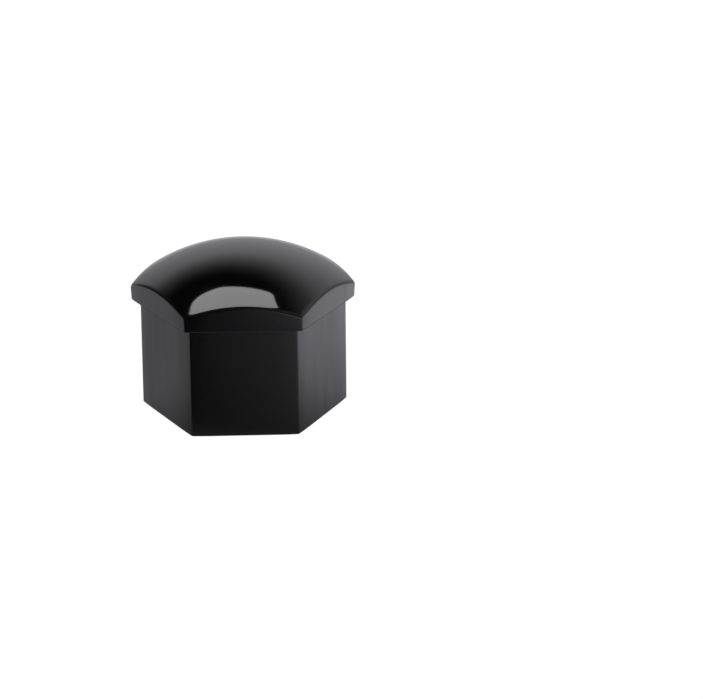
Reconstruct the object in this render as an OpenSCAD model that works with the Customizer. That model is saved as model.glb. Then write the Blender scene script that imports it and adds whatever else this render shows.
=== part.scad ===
// Push-on cover cap for a hexagonal wheel nut or wheel bolt head, moulded in one piece.
// The open mouth faces down and its rim lies at z = 0. The domed head is on top.
// Opposite corners of the hexagon point along +X and -X, and two flats face +Y and -Y.

/* [Socket and skirt] */
// Across flats of the socket at its mouth, which is the size of the nut
nut_af = 17; // [12:0.5:27]
// Thickness of the skirt's walls
wall = 0.75; // [0.5:0.05:1.2]
// Height of the skirt, from its rim to the underside of the head
skirt_h = 11.25; // [7:0.05:18]
// Lean of each skirt wall, which makes the mouth the widest place, in degrees
skirt_draft = 0.6; // [0:0.1:1]
// How far each sharp upright corner of the skirt is eased back
skirt_corner_ease = 0.09; // [0.02:0.01:0.2]

/* [Grip ribs] */
// Width of the rib on each inner flat
rib_w = 0.6; // [0.4:0.1:1.2]
// How far each rib stands out of its flat
rib_proud = 0.2; // [0.1:0.05:0.4]
// Height above the rim at which the ribs start
rib_start = 1; // [0.5:0.1:3]
// Length of the ramp at a rib's lower end, which leads the nut in
rib_ramp = 0.8; // [0.3:0.1:2]
// Length of a rib, its ramp included
rib_l = 8; // [4:0.1:9]

/* [Head] */
// Width of the ledge that the head makes round the top of the skirt
ledge_w = 0.78; // [0.4:0.02:1.6]
// Height of the head's sides at their corners, where they are lowest
head_corner_h = 1.48; // [0.8:0.02:3]
// Lean of the head's sides, which widen towards the dome, in degrees
head_flare = 2.2; // [0:0.1:4]
// How far each sharp upright corner of the head is eased back
head_corner_ease = 0.1; // [0.02:0.01:0.3]
// Rise of the dome, from the head's corners to its crown
dome_rise = 4.2; // [2:0.05:6]
// Thickness of the head, between the dome and the roof of the socket
roof_t = 1; // [0.7:0.05:1.3]

/* [Hidden] */

$fn = 96;

// Clearance by which a cutter passes the face that it opens
pass = 1;
// Depth by which a rib's root lies inside its wall
root = 0.3;

skirt_lean = tan(skirt_draft);
head_lean = tan(head_flare);

// Across flats of the skirt and the head, at the levels that set them
mouth_af = nut_af + 2 * wall;
skirt_top_af = mouth_af - 2 * skirt_h * skirt_lean;
head_low_af = skirt_top_af + 2 * ledge_w;

// The dome is a ball that passes through the head's sharp corners
corner_z = skirt_h + head_corner_h;
head_corner_af = head_low_af + 2 * head_corner_h * head_lean;
corner_r = across_corners(head_corner_af) / 2;
dome_r = (corner_r * corner_r + dome_rise * dome_rise) / (2 * dome_rise);
crown_z = corner_z + dome_rise;
dome_centre_z = crown_z - dome_r;
roof_r = dome_r - roof_t;

// Across corners of a hexagon, from its width across flats
function across_corners(af) = af / cos(30);

// One pair of opposite leaning faces: a long bar with a trapezoid section
module leaning_pair(low_af, high_af, low_z, high_z, length) {
    section = [
        [-low_af / 2, low_z],
        [low_af / 2, low_z],
        [high_af / 2, high_z],
        [-high_af / 2, high_z]
    ];
    rotate([90, 0, 90])
        linear_extrude(height = length, center = true)
            polygon(section);
}

// A hexagonal prism whose six faces lean, with flats towards +Y and -Y
module leaning_hexagon(low_af, high_af, low_z, high_z) {
    length = 2 * max(low_af, high_af);
    intersection() {
        leaning_pair(low_af, high_af, low_z, high_z, length);
        rotate([0, 0, 60])
            leaning_pair(low_af, high_af, low_z, high_z, length);
        rotate([0, 0, 120])
            leaning_pair(low_af, high_af, low_z, high_z, length);
    }
}

// The same prism with its upright corners turned back by a small amount
module eased_hexagon(low_af, high_af, low_z, high_z, ease) {
    intersection() {
        leaning_hexagon(low_af, high_af, low_z, high_z);
        translate([0, 0, low_z])
            cylinder(
                h = high_z - low_z,
                r1 = across_corners(low_af) / 2 - ease,
                r2 = across_corners(high_af) / 2 - ease
            );
    }
}

// Skirt, solid, run up into the head by half the height of the head's corners
module skirt_block() {
    high_z = skirt_h + head_corner_h / 2;
    high_af = mouth_af - 2 * high_z * skirt_lean;
    eased_hexagon(mouth_af, high_af, 0, high_z, skirt_corner_ease);
}

// Head, solid: leaning sides cut off by the ball of the dome
module head_block() {
    high_z = crown_z + pass;
    high_af = head_low_af + 2 * (high_z - skirt_h) * head_lean;
    intersection() {
        eased_hexagon(head_low_af, high_af, skirt_h, high_z, head_corner_ease);
        translate([0, 0, dome_centre_z])
            sphere(r = dome_r);
    }
}

// Space inside: walls that follow the skirt's, under a roof that follows the dome
module socket_space() {
    low_z = -pass;
    high_z = crown_z;
    low_af = nut_af - 2 * low_z * skirt_lean;
    high_af = nut_af - 2 * high_z * skirt_lean;
    intersection() {
        leaning_hexagon(low_af, high_af, low_z, high_z);
        translate([0, 0, dome_centre_z])
            sphere(r = roof_r);
    }
}

// Rib on the inner flat that faces +Y, drawn as its outline from the side
module grip_rib() {
    end_z = rib_start + rib_l;
    ramp_z = rib_start + rib_ramp;
    flat_y = nut_af / 2;
    outline = [
        [flat_y + root - rib_start * skirt_lean, rib_start],
        [flat_y + root - end_z * skirt_lean, end_z],
        [flat_y - rib_proud - end_z * skirt_lean, end_z],
        [flat_y - rib_proud - ramp_z * skirt_lean, ramp_z],
        [flat_y - rib_start * skirt_lean, rib_start]
    ];
    rotate([90, 0, 90])
        linear_extrude(height = rib_w, center = true)
            polygon(outline);
}

// The whole cap
module cap() {
    color("#1b1b1d")
        union() {
            difference() {
                union() {
                    skirt_block();
                    head_block();
                }
                socket_space();
            }
            for (turn = [0:60:300])
                rotate([0, 0, turn])
                    grip_rib();
        }
}

cap();
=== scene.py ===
from math import cos, radians, sin, sqrt, tan

import bmesh
import bpy
from mathutils import Matrix, Vector


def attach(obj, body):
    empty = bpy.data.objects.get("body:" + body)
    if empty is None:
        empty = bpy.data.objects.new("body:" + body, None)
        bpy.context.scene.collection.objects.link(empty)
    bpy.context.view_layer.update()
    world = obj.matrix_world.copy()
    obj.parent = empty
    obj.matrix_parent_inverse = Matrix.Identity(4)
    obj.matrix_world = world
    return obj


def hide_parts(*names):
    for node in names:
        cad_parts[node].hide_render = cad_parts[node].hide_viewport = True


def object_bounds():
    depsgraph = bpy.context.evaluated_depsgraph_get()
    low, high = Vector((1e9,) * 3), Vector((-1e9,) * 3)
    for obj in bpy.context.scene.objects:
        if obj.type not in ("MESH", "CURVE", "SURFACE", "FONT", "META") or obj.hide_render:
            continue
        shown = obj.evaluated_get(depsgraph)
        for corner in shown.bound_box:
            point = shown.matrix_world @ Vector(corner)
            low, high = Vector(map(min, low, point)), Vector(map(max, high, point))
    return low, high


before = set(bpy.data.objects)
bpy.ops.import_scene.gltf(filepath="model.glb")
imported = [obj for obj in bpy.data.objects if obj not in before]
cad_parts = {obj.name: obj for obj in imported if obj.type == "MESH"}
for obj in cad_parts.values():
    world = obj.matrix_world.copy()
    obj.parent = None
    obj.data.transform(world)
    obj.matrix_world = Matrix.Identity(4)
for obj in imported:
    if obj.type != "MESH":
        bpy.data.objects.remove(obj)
cadLow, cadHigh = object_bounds()
mm = 0.001  # sizes and places below are in millimetres, the scene is in metres

# The picture is a pure white sheet, so nothing may change the colours as they are written
bpy.context.scene.view_settings.view_transform = "Standard"


def linearColour(hexCode):
    parts = [int(hexCode[i:i + 2], 16) / 255 for i in (1, 3, 5)]
    parts = [p / 12.92 if p <= 0.04045 else ((p + 0.055) / 1.055) ** 2.4 for p in parts]
    return (*parts, 1.0)


def addNode(tree, kind, settings=None, links=None):
    node = tree.nodes.new(kind)
    for name, value in (settings or {}).items():
        if isinstance(name, int) or name in node.inputs:
            node.inputs[name].default_value = value
        else:
            setattr(node, name, value)
    for name, source in (links or {}).items():
        tree.links.new(source, node.inputs[name])
    return node


def newMaterial(name):
    material = bpy.data.materials.new(name)
    material.use_nodes = True
    material.node_tree.nodes.clear()
    return material, material.node_tree


def meshObject(name, bm, materials):
    # the mesh is turned from millimetres to metres here, and nowhere else
    bmesh.ops.scale(bm, vec=(mm, mm, mm), verts=bm.verts)
    mesh = bpy.data.meshes.new(name)
    bm.to_mesh(mesh)
    bm.free()
    for material in materials:
        mesh.materials.append(material)
    made = bpy.data.objects.new(name, mesh)
    bpy.context.scene.collection.objects.link(made)
    return made


# A long lens a little above the cap, aimed past its right side
cameraSettings = {
    "place": (0.66, -168.98, 72.33),
    "aim": (11.02, -0.98, 5.75),
    "roll": 0.30,  # degrees
    "lens": 89.95,
    "sensorWidth": 36.0,
    "nearest": 10.0,
    "farthest": 20000.0,
}


def makeCamera(settings):
    data = bpy.data.cameras.new("camera")
    data.lens = settings["lens"]
    data.sensor_width = settings["sensorWidth"]
    data.clip_start = settings["nearest"] * mm
    data.clip_end = settings["farthest"] * mm
    camera = bpy.data.objects.new("camera", data)
    bpy.context.scene.collection.objects.link(camera)
    place, aim = (Vector(settings[name]) * mm for name in ("place", "aim"))
    turn = (aim - place).to_track_quat("-Z", "Y").to_matrix()
    roll = Matrix.Rotation(radians(settings["roll"]), 3, "Z")
    camera.matrix_world = Matrix.Translation(place) @ (turn @ roll).to_4x4()
    bpy.context.scene.camera = camera


makeCamera(cameraSettings)
print("camera placed")


# Black ABS as it leaves a polished mould: deep black, with a clear mirror over it
polishedAbs = {
    "colour": "#050505",
    "ior": 1.53,
    "roughness": 0.065,
    "roughnessSpread": 0.02,
    "waveWidth": 3.0,  # between the slow waves that shrinking plastic leaves
    "waveHeight": 0.002,
    "grainWidth": 0.5,
    "grainHeight": 0.0002,
}

# Black ABS drawn out of a ground mould: satin, with faint marks along the draw
drawnAbs = {
    "colour": "#06060a",
    "ior": 1.53,
    "shine": 0.59,
    "roughness": 0.32,
    "roughnessSpread": 0.1,
    "bandWidth": 1.7,  # across the broad marks, and below it along them
    "bandLength": 14.0,
    "bandHeight": 0.02,
    "lineWidth": 0.3,  # drawn wider than the real scratches, so that they show
    "lineLength": 5.0,
    "lineHeight": 0.0025,
}

# The same black ABS at the sides of the head, which the polished half of the mould forms
sideAbs = {
    **drawnAbs,
    "shine": 0.5,
    "roughness": 0.2,
    "bandHeight": 0.004,
}

# Black ABS along the parting lines, at the rim and at the ledge: matt and slightly torn
partedAbs = {
    "colour": "#2a2a2c",
    "ior": 1.53,
    "shine": 0.2,
    "roughness": 0.55,
    "tearWidth": 0.18,
    "tearHeight": 0.02,
}

noiseReach = (0.3, 0.7)  # between these values lies nearly all of a noise pattern


def makePolishedAbs(name, settings):
    material, tree = newMaterial(name)
    place = addNode(tree, "ShaderNodeTexCoord").outputs["Object"]
    slow = addNode(tree, "ShaderNodeTexNoise",
                   {"Scale": 1 / (settings["waveWidth"] * mm), "Detail": 1.0}, {"Vector": place})
    fine = addNode(tree, "ShaderNodeTexNoise",
                   {"Scale": 1 / (settings["grainWidth"] * mm), "Detail": 3.0}, {"Vector": place})
    half = settings["roughnessSpread"] / 2
    gloss = addNode(tree, "ShaderNodeMapRange",
                    {"From Min": noiseReach[0], "From Max": noiseReach[1],
                     "To Min": settings["roughness"] - half, "To Max": settings["roughness"] + half},
                    {"Value": slow.outputs["Fac"]})
    waves = addNode(tree, "ShaderNodeBump",
                    {"Strength": 1.0, "Distance": settings["waveHeight"] * mm},
                    {"Height": slow.outputs["Fac"]})
    grain = addNode(tree, "ShaderNodeBump",
                    {"Strength": 1.0, "Distance": settings["grainHeight"] * mm},
                    {"Height": fine.outputs["Fac"], "Normal": waves.outputs["Normal"]})
    plastic = addNode(tree, "ShaderNodeBsdfPrincipled",
                      {"Base Color": linearColour(settings["colour"]), "IOR": settings["ior"]},
                      {"Roughness": gloss.outputs["Result"], "Normal": grain.outputs["Normal"]})
    addNode(tree, "ShaderNodeOutputMaterial", links={"Surface": plastic.outputs["BSDF"]})
    return material


def makeDrawnAbs(name, settings):
    material, tree = newMaterial(name)
    place = addNode(tree, "ShaderNodeTexCoord").outputs["Object"]
    heights = []
    for width, length in (("bandWidth", "bandLength"), ("lineWidth", "lineLength")):
        across, along = (1 / (settings[size] * mm) for size in (width, length))
        stretched = addNode(tree, "ShaderNodeMapping", {"Scale": (across, across, along)},
                            {"Vector": place})
        heights.append(addNode(tree, "ShaderNodeTexNoise", {"Scale": 1.0, "Detail": 1.0},
                               {"Vector": stretched.outputs["Vector"]}).outputs["Fac"])
    half = settings["roughnessSpread"] / 2
    gloss = addNode(tree, "ShaderNodeMapRange",
                    {"From Min": noiseReach[0], "From Max": noiseReach[1],
                     "To Min": settings["roughness"] - half, "To Max": settings["roughness"] + half},
                    {"Value": heights[0]})
    bands = addNode(tree, "ShaderNodeBump",
                    {"Strength": 1.0, "Distance": settings["bandHeight"] * mm},
                    {"Height": heights[0]})
    lines = addNode(tree, "ShaderNodeBump",
                    {"Strength": 1.0, "Distance": settings["lineHeight"] * mm},
                    {"Height": heights[1], "Normal": bands.outputs["Normal"]})
    plastic = addNode(tree, "ShaderNodeBsdfPrincipled",
                      {"Base Color": linearColour(settings["colour"]), "IOR": settings["ior"],
                       "Specular IOR Level": settings["shine"]},
                      {"Roughness": gloss.outputs["Result"], "Normal": lines.outputs["Normal"]})
    addNode(tree, "ShaderNodeOutputMaterial", links={"Surface": plastic.outputs["BSDF"]})
    return material


def makePartedAbs(name, settings):
    material, tree = newMaterial(name)
    place = addNode(tree, "ShaderNodeTexCoord").outputs["Object"]
    tears = addNode(tree, "ShaderNodeTexNoise",
                    {"Scale": 1 / (settings["tearWidth"] * mm), "Detail": 4.0}, {"Vector": place})
    marks = addNode(tree, "ShaderNodeBump",
                    {"Strength": 1.0, "Distance": settings["tearHeight"] * mm},
                    {"Height": tears.outputs["Fac"]})
    plastic = addNode(tree, "ShaderNodeBsdfPrincipled",
                      {"Base Color": linearColour(settings["colour"]), "IOR": settings["ior"],
                       "Specular IOR Level": settings["shine"], "Roughness": settings["roughness"]},
                      {"Normal": marks.outputs["Normal"]})
    addNode(tree, "ShaderNodeOutputMaterial", links={"Surface": plastic.outputs["BSDF"]})
    return material


capMaterials = [makePolishedAbs("polishedAbs", polishedAbs), makeDrawnAbs("sideAbs", sideAbs),
                makeDrawnAbs("drawnAbs", drawnAbs), makePartedAbs("partedAbs", partedAbs)]
polished, side, drawn, parted = range(4)  # the places of these materials on the cap


# Lengths in mm; the first of them are the sizes of the solid
capShape = {
    "nutFlats": 17.0,  # across flats of the socket at its mouth
    "wall": 0.75,
    "skirtHeight": 11.25,
    "skirtDraft": 0.6,  # degrees
    "ledge": 0.78,
    "headCornerHeight": 1.48,
    "headFlare": 2.2,  # degrees
    "domeRise": 4.2,
    "roof": 1.0,
    "ribStart": 1.0,
    "ribLength": 8.0,
    "ribRamp": 0.8,
    "ribWidth": 0.6,
    "ribProud": 0.2,
    "rimRounding": 0.06,
    "ledgeRounding": 0.13,
    "domeEdgeRounding": 0.28,
    "roundingSteps": 5,
    "cornerReach": 0.08,  # from a sharp corner of the hexagon to where its rounding ends
    "cornerSteps": 5,
    "crownWidth": 2.2,  # beside each corner the flats fall away, as moulded walls do
    "crownDepth": 0.07,
    "sideSteps": 51,  # so fine that a few steps make the width of a rib
    "domeSteps": 24,
    "roofSteps": 18,
    "edgeRow": 0.3,  # rows of faces beside a rounded edge, which alone are shaded towards it
    "ledgeRow": 0.4,
    "sharpFrom": 35.0,  # degrees between two faces, from which an edge inside is sharp
}


def capSizes(shape):
    # widths are across flats, and a ball is the height of its centre and its radius
    draft, flare = (tan(radians(shape[name])) for name in ("skirtDraft", "headFlare"))
    mouth = shape["nutFlats"] + 2 * shape["wall"]
    skirtTop = mouth - 2 * shape["skirtHeight"] * draft
    head = skirtTop + 2 * shape["ledge"]
    cornerRadius = (head / 2 + shape["headCornerHeight"] * flare) / cos(radians(30))
    rise = shape["domeRise"]
    radius = (cornerRadius ** 2 + rise ** 2) / (2 * rise)
    centre = shape["skirtHeight"] + shape["headCornerHeight"] + rise - radius
    return {"draft": draft, "flare": flare, "mouth": mouth, "skirtTop": skirtTop, "head": head,
            "dome": (centre, radius), "roof": (centre, radius - shape["roof"])}


def nearestFlat(point):
    # the direction in which the closest of the six flats faces
    return max((radians(30 + 60 * k) for k in range(6)),
               key=lambda turn: point.x * cos(turn) + point.y * sin(turn))


def alongFlat(point):
    # how far a point lies from the middle of its flat
    turn = nearestFlat(point)
    return abs(point.y * cos(turn) - point.x * sin(turn))


def hexagonOutline(bm, flats, shape):
    # a hexagon with rounded corners, flat on the ground, its corners along X
    bmesh.ops.create_circle(bm, cap_ends=True, segments=6, radius=flats / 2 / cos(radians(30)))
    bmesh.ops.rotate(bm, verts=bm.verts, matrix=Matrix.Rotation(radians(30), 3, "Z"))
    bmesh.ops.bevel(bm, geom=bm.verts[:], offset=shape["cornerReach"], offset_type="OFFSET",
                    segments=shape["cornerSteps"], profile=0.5, affect="VERTICES", material=-1)
    sides = [edge for edge in bm.edges if edge.calc_length() > shape["cornerReach"]]
    bmesh.ops.subdivide_edges(bm, edges=sides, cuts=shape["sideSteps"] - 1)
    bmesh.ops.delete(bm, geom=bm.faces[:], context="FACES_ONLY")
    halfSide = flats / 2 * tan(radians(30))
    for vert in bm.verts:
        fall = 1 - min(1, max(0, halfSide - alongFlat(vert.co)) / shape["crownWidth"])
        vert.co *= 1 - shape["crownDepth"] * fall ** 2 / (flats / 2)
    return bm.edges[:]


def toHeight(factor, height):
    # scaled about the axis, then put at a height
    return lambda foot: Vector((foot.x * factor, foot.y * factor, height))


def toBall(factor, ball):
    # scaled about the axis, then put on a ball
    centre, radius = ball

    def place(foot):
        x, y = foot.x * factor, foot.y * factor
        return Vector((x, y, centre + sqrt(radius ** 2 - x ** 2 - y ** 2)))
    return place


def upToBall(lean, ball):
    # carried up a leaning wall until it lies on a ball
    passes = 8  # each comes closer, and so many are enough

    def place(foot):
        turn = nearestFlat(foot)
        flat = foot.x * cos(turn) + foot.y * sin(turn)
        point = foot
        for step in range(passes):
            point = toBall(1 + (point.z - foot.z) * lean / flat, ball)(foot)
        return point
    return place


def nextRing(bm, ring, finish, place):
    # a ring of faces grown from an open edge; place says where each of its points goes
    made = bmesh.ops.extrude_edge_only(bm, edges=ring)["geom"]
    verts = {item for item in made if isinstance(item, bmesh.types.BMVert)}
    for vert in verts:
        vert.co = place(vert.co)
        for face in vert.link_faces:
            face.material_index = finish
    return [item for item in made
            if isinstance(item, bmesh.types.BMEdge) and all(vert in verts for vert in item.verts)]


def raiseWall(bm, ring, finish, flats, lean, heights):
    # rows of faces up a leaning wall, from the first height to each of the others in turn
    for low, high in zip(heights, heights[1:]):
        reached = flats + 2 * (high - low) * lean
        ring = nextRing(bm, ring, finish, toHeight(reached / flats, high))
        flats = reached
    return ring


def closeOver(bm, ring, finish, steps, ball):
    # rings on a ball that shrink towards the axis, the last of them to a single point
    for step in range(steps, 0, -1):
        ring = nextRing(bm, ring, finish, toBall((step - 1) / step, ball))
    top = list({vert for edge in ring for vert in edge.verts})
    bmesh.ops.pointmerge(bm, verts=top, merge_co=top[0].co)


def makeOutside(bm, rim, shape, sizes):
    # skirt, ledge, sides of the head, dome
    ledge, row = shape["skirtHeight"], shape["edgeRow"]
    ledgeInner = raiseWall(bm, rim, drawn, sizes["mouth"], -sizes["draft"],
                           (0, row, ledge - shape["ledgeRow"], ledge))
    ledgeOuter = nextRing(bm, ledgeInner, drawn, toHeight(sizes["head"] / sizes["skirtTop"], ledge))
    belt = raiseWall(bm, ledgeOuter, side, sizes["head"], sizes["flare"], (ledge, ledge + row))
    domeEdge = nextRing(bm, belt, side, upToBall(sizes["flare"], sizes["dome"]))
    closeOver(bm, domeEdge, polished, shape["domeSteps"], sizes["dome"])
    return ledgeInner + ledgeOuter, domeEdge


def raiseRibs(bm, faces, shape):
    # the faces behind the ribs move in, and the foot of each rib becomes a ramp
    made = bmesh.ops.extrude_face_region(bm, geom=faces)["geom"]
    bmesh.ops.delete(bm, geom=faces, context="FACES")
    verts = [item for item in made if isinstance(item, bmesh.types.BMVert)]
    foot = min(vert.co.z for vert in verts)
    for vert in verts:
        turn = nearestFlat(vert.co)
        vert.co -= shape["ribProud"] * Vector((cos(turn), sin(turn), 0))
        if vert.co.z == foot:
            vert.co.z += shape["ribRamp"]
    for edge in (item for item in made if isinstance(item, bmesh.types.BMEdge)):
        edge.smooth = False


def makeInside(bm, rim, shape, sizes):
    # walls, roof, and one rib in the middle of each flat
    lean = -sizes["draft"]
    ribStart, ribEnd = shape["ribStart"], shape["ribStart"] + shape["ribLength"]
    ribsFrom = raiseWall(bm, rim, drawn, shape["nutFlats"], lean, (0, shape["edgeRow"], ribStart))
    below = set(bm.faces)
    ribsTo = raiseWall(bm, ribsFrom, drawn, shape["nutFlats"] + 2 * ribStart * lean, lean,
                       (ribStart, ribEnd))
    behindRibs = [face for face in set(bm.faces) - below
                  if alongFlat(face.calc_center_median()) < shape["ribWidth"] / 2]
    roofEdge = nextRing(bm, ribsTo, drawn, upToBall(lean, sizes["roof"]))
    closeOver(bm, roofEdge, drawn, shape["roofSteps"], sizes["roof"])
    raiseRibs(bm, behindRibs, shape)


def shadeCap(bm, shape):
    # smooth all over, but for the edges that nothing rounds: those inside, between two drawn faces
    for face in bm.faces:
        face.smooth = True
    for edge in bm.edges:
        unrounded = all(face.material_index == drawn for face in edge.link_faces)
        if unrounded and edge.calc_face_angle() > radians(shape["sharpFrom"]):
            edge.smooth = False


def makeCap(shape, materials):
    sizes = capSizes(shape)
    bm = bmesh.new()
    rimOuter = hexagonOutline(bm, sizes["mouth"], shape)
    ledgeEdges, domeEdge = makeOutside(bm, rimOuter, shape, sizes)
    rimInner = nextRing(bm, rimOuter, parted, toHeight(shape["nutFlats"] / sizes["mouth"], 0))
    makeInside(bm, rimInner, shape, sizes)
    print("cap shaped:", len(bm.faces), "faces")
    bmesh.ops.recalc_face_normals(bm, faces=bm.faces)
    for edges, finish, reach in ((domeEdge, polished, shape["domeEdgeRounding"]),
                                 (ledgeEdges, parted, shape["ledgeRounding"]),
                                 (rimOuter + rimInner, parted, shape["rimRounding"])):
        bmesh.ops.bevel(bm, geom=edges, offset=reach, offset_type="OFFSET",
                        segments=shape["roundingSteps"], profile=0.5, affect="EDGES",
                        material=finish, clamp_overlap=False, loop_slide=True)
    shadeCap(bm, shape)
    piece = meshObject("coverCap", bm, materials)
    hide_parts("cap")
    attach(piece, "root")
    print("cap made:", len(piece.data.polygons), "faces")


makeCap(capShape, capMaterials)


# A broad soft light overhead, whose outline the dome mirrors
softboxSettings = {
    "height": 300.0,
    "corners": ((-62.0, 102.0), (79.0, 74.0), (87.0, 40.0), (99.0, 6.0), (70.0, -190.0),
                (-170.0, -190.0), (-163.0, 18.0), (-151.0, 65.0), (-124.0, 89.0)),
    "cornerReach": 14.0,
    "cornerSteps": 6,
    "strength": 4.3,
}


def makeSoftbox(settings):
    material, tree = newMaterial("softboxCloth")
    glow = addNode(tree, "ShaderNodeEmission", {"Strength": settings["strength"]})
    addNode(tree, "ShaderNodeOutputMaterial", links={"Surface": glow.outputs["Emission"]})
    bm = bmesh.new()
    bm.faces.new([bm.verts.new((x, y, settings["height"])) for x, y in settings["corners"]])
    bmesh.ops.bevel(bm, geom=bm.verts[:], offset=settings["cornerReach"], offset_type="OFFSET",
                    segments=settings["cornerSteps"], profile=0.5, affect="VERTICES", material=-1)
    softbox = meshObject("softbox", bm, [material])
    softbox.visible_camera = False


makeSoftbox(softboxSettings)


# A pale sweep all round, which the camera sees as plain white and the plastic sees shaded.
# Directions are parts of one: X to the right, Y to the back, Z up.
sweepSettings = {
    "colour": "#fbfbff",
    "level": 0.49,
    "rightGain": 0.2,
    "backGain": 0.4,
    "horizonShare": 0.58,  # of the level, at the horizon
    "fullFrom": 0.45,  # Z from which the level is full, up to where the fade begins
    "fadeBetween": (0.52, 0.9),
    "fadeTilt": (0.27, 0.2),  # how much higher the fade lies to the left, and to the right
    "wallBetween": (-0.85, -0.5),  # X of a dark wall at the left
    "wallShare": 0.15,
}


def makeWorld(settings):
    world = bpy.data.worlds.new("sweep")
    bpy.context.scene.world = world
    world.use_nodes = True
    tree = world.node_tree
    tree.nodes.clear()
    direction = addNode(tree, "ShaderNodeTexCoord").outputs["Generated"]
    parts = addNode(tree, "ShaderNodeSeparateXYZ", links={0: direction})
    toRight = addNode(tree, "ShaderNodeMath",
                      {"operation": "MULTIPLY_ADD", 1: settings["rightGain"], 2: settings["level"]},
                      {0: parts.outputs["X"]})
    toBack = addNode(tree, "ShaderNodeMath", {"operation": "MULTIPLY_ADD", 1: settings["backGain"]},
                     {0: parts.outputs["Y"], 2: toRight.outputs[0]})
    left, right = (addNode(tree, "ShaderNodeMath", {"operation": "MULTIPLY", 1: -tilt},
                           {0: parts.outputs["X"]}) for tilt in settings["fadeTilt"])
    lean = addNode(tree, "ShaderNodeMath", {"operation": "MAXIMUM"},
                   {0: left.outputs[0], 1: right.outputs[0]})
    height = addNode(tree, "ShaderNodeMath", {"operation": "ADD"},
                     {0: parts.outputs["Z"], 1: lean.outputs[0]})
    fade = addNode(tree, "ShaderNodeMapRange",
                   {"interpolation_type": "SMOOTHSTEP",
                    "From Min": settings["fadeBetween"][0], "From Max": settings["fadeBetween"][1],
                    "To Min": 1.0, "To Max": 0.0}, {"Value": height.outputs[0]})
    horizon = addNode(tree, "ShaderNodeMapRange",
                      {"From Min": 0.0, "From Max": settings["fullFrom"],
                       "To Min": settings["horizonShare"], "To Max": 1.0},
                      {"Value": parts.outputs["Z"]})
    wall = addNode(tree, "ShaderNodeMapRange",
                   {"From Min": settings["wallBetween"][0], "From Max": settings["wallBetween"][1],
                    "To Min": settings["wallShare"], "To Max": 1.0}, {"Value": parts.outputs["X"]})
    level = toBack.outputs[0]
    for share in (wall, horizon, fade):
        level = addNode(tree, "ShaderNodeMath", {"operation": "MULTIPLY"},
                        {0: level, 1: share.outputs["Result"]}).outputs[0]
    sweep = addNode(tree, "ShaderNodeBackground", {"Color": linearColour(settings["colour"])},
                    {"Strength": level})
    white = addNode(tree, "ShaderNodeBackground", {"Color": linearColour("#ffffff"), "Strength": 1.0})
    rays = addNode(tree, "ShaderNodeLightPath")
    seen = addNode(tree, "ShaderNodeMixShader",
                   links={"Fac": rays.outputs["Is Camera Ray"],
                          1: sweep.outputs["Background"], 2: white.outputs["Background"]})
    addNode(tree, "ShaderNodeOutputWorld", links={"Surface": seen.outputs["Shader"]})


makeWorld(sweepSettings)


# White paper on the floor, with painted light and shade that only the cap's gloss sees, and a painted
# shade in front of the cap
floorSettings = {
    "half": 2000.0,
    "colour": "#f6f6f6",
    "white": 0.92,  # share of plain white that the camera sees, over the lit paper
    "whiteStrength": 1.05,
    # the paper as the gloss sees it, with the painted light and shade set below
    "mirrored": "#fbfbff",
    "level": 0.8,  # how bright the gloss sees the floor at the cap's axis
    "rightGain": 0.011,  # per mm to the right: painted light, the paper brighter to the right
    "least": 0.45,
    "most": (1.05, 0.5),  # beside the cap, and behind it, where painted shade darkens the paper
    "mostBetween": (22.0, 48.0),  # mm behind the axis
    "share": (0.64, 1.3),  # of the level, near the cap and far from it: painted shade around the cap's foot
    "shareBetween": (6.0, 42.0),  # mm from the axis
    # painted shade in front of the cap, which only the gloss sees: the share of the level where it is
    # darkest
    "paintedShadeShare": 0.03,
    "paintedShadeRight": (-8.0, 40.0),  # mm over which the painted shade in front of the cap ends towards the right
    "paintedShadeBack": (-14.0, 0.0),  # and towards the back
}


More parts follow.
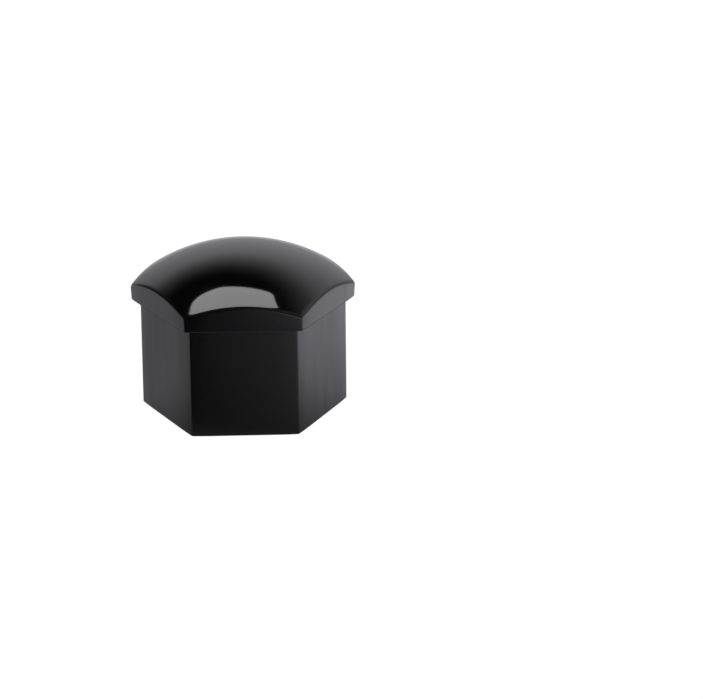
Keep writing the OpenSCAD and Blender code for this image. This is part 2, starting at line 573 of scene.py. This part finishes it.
def makeFloor(settings):
    material, tree = newMaterial("paperFloor")
    place = addNode(tree, "ShaderNodeTexCoord").outputs["Object"]
    parts = addNode(tree, "ShaderNodeSeparateXYZ", links={0: place})
    distance = addNode(tree, "ShaderNodeVectorMath", {"operation": "LENGTH"}, {0: place})
    ramps = []
    for stretch, (near, far), value in (
            ("mostBetween", settings["most"], parts.outputs["Y"]),
            ("shareBetween", settings["share"], distance.outputs["Value"]),
            ("paintedShadeRight", (settings["paintedShadeShare"], 1.0), parts.outputs["X"]),
            ("paintedShadeBack", (settings["paintedShadeShare"], 1.0), parts.outputs["Y"])):
        start, end = settings[stretch]
        ramps.append(addNode(tree, "ShaderNodeMapRange",
                             {"From Min": start * mm, "From Max": end * mm,
                              "To Min": near, "To Max": far}, {"Value": value}).outputs["Result"])
    most, share, paintedShadeRight, paintedShadeBack = ramps
    gain = addNode(tree, "ShaderNodeMath",
                   {"operation": "MULTIPLY_ADD", 1: settings["rightGain"] / mm, 2: settings["level"]},
                   {0: parts.outputs["X"]})
    level = addNode(tree, "ShaderNodeClamp", {"Min": settings["least"]},
                    {"Value": gain.outputs[0], "Max": most}).outputs[0]
    # the painted shade in front of the cap, fading out to the right and to the back
    paintedShade = addNode(tree, "ShaderNodeMath", {"operation": "MAXIMUM"}, {0: paintedShadeRight, 1: paintedShadeBack})
    for factor in (share, paintedShade.outputs[0]):
        level = addNode(tree, "ShaderNodeMath", {"operation": "MULTIPLY"},
                        {0: level, 1: factor}).outputs[0]
    # painted light and shade of the paper, which only the gloss sees
    mirrored = addNode(tree, "ShaderNodeEmission", {"Color": linearColour(settings["mirrored"])},
                       {"Strength": level})
    lit = addNode(tree, "ShaderNodeBsdfDiffuse", {"Color": linearColour(settings["colour"])})
    white = addNode(tree, "ShaderNodeEmission",
                    {"Color": linearColour("#ffffff"), "Strength": settings["whiteStrength"]})
    paper = addNode(tree, "ShaderNodeMixShader", {"Fac": settings["white"]},
                    {1: lit.outputs["BSDF"], 2: white.outputs["Emission"]})
    rays = addNode(tree, "ShaderNodeLightPath")
    toCamera = addNode(tree, "ShaderNodeMixShader",
                       links={"Fac": rays.outputs["Is Camera Ray"],
                              1: lit.outputs["BSDF"], 2: paper.outputs["Shader"]})
    toGloss = addNode(tree, "ShaderNodeMixShader",
                      links={"Fac": rays.outputs["Is Glossy Ray"],
                             1: toCamera.outputs["Shader"], 2: mirrored.outputs["Emission"]})
    addNode(tree, "ShaderNodeOutputMaterial", links={"Surface": toGloss.outputs["Shader"]})
    bm = bmesh.new()
    bmesh.ops.create_grid(bm, x_segments=1, y_segments=1, size=settings["half"])
    bmesh.ops.translate(bm, verts=bm.verts, vec=(0, 0, cadLow.z / mm))
    meshObject("floor", bm, [material])


makeFloor(floorSettings)
print("studio made")
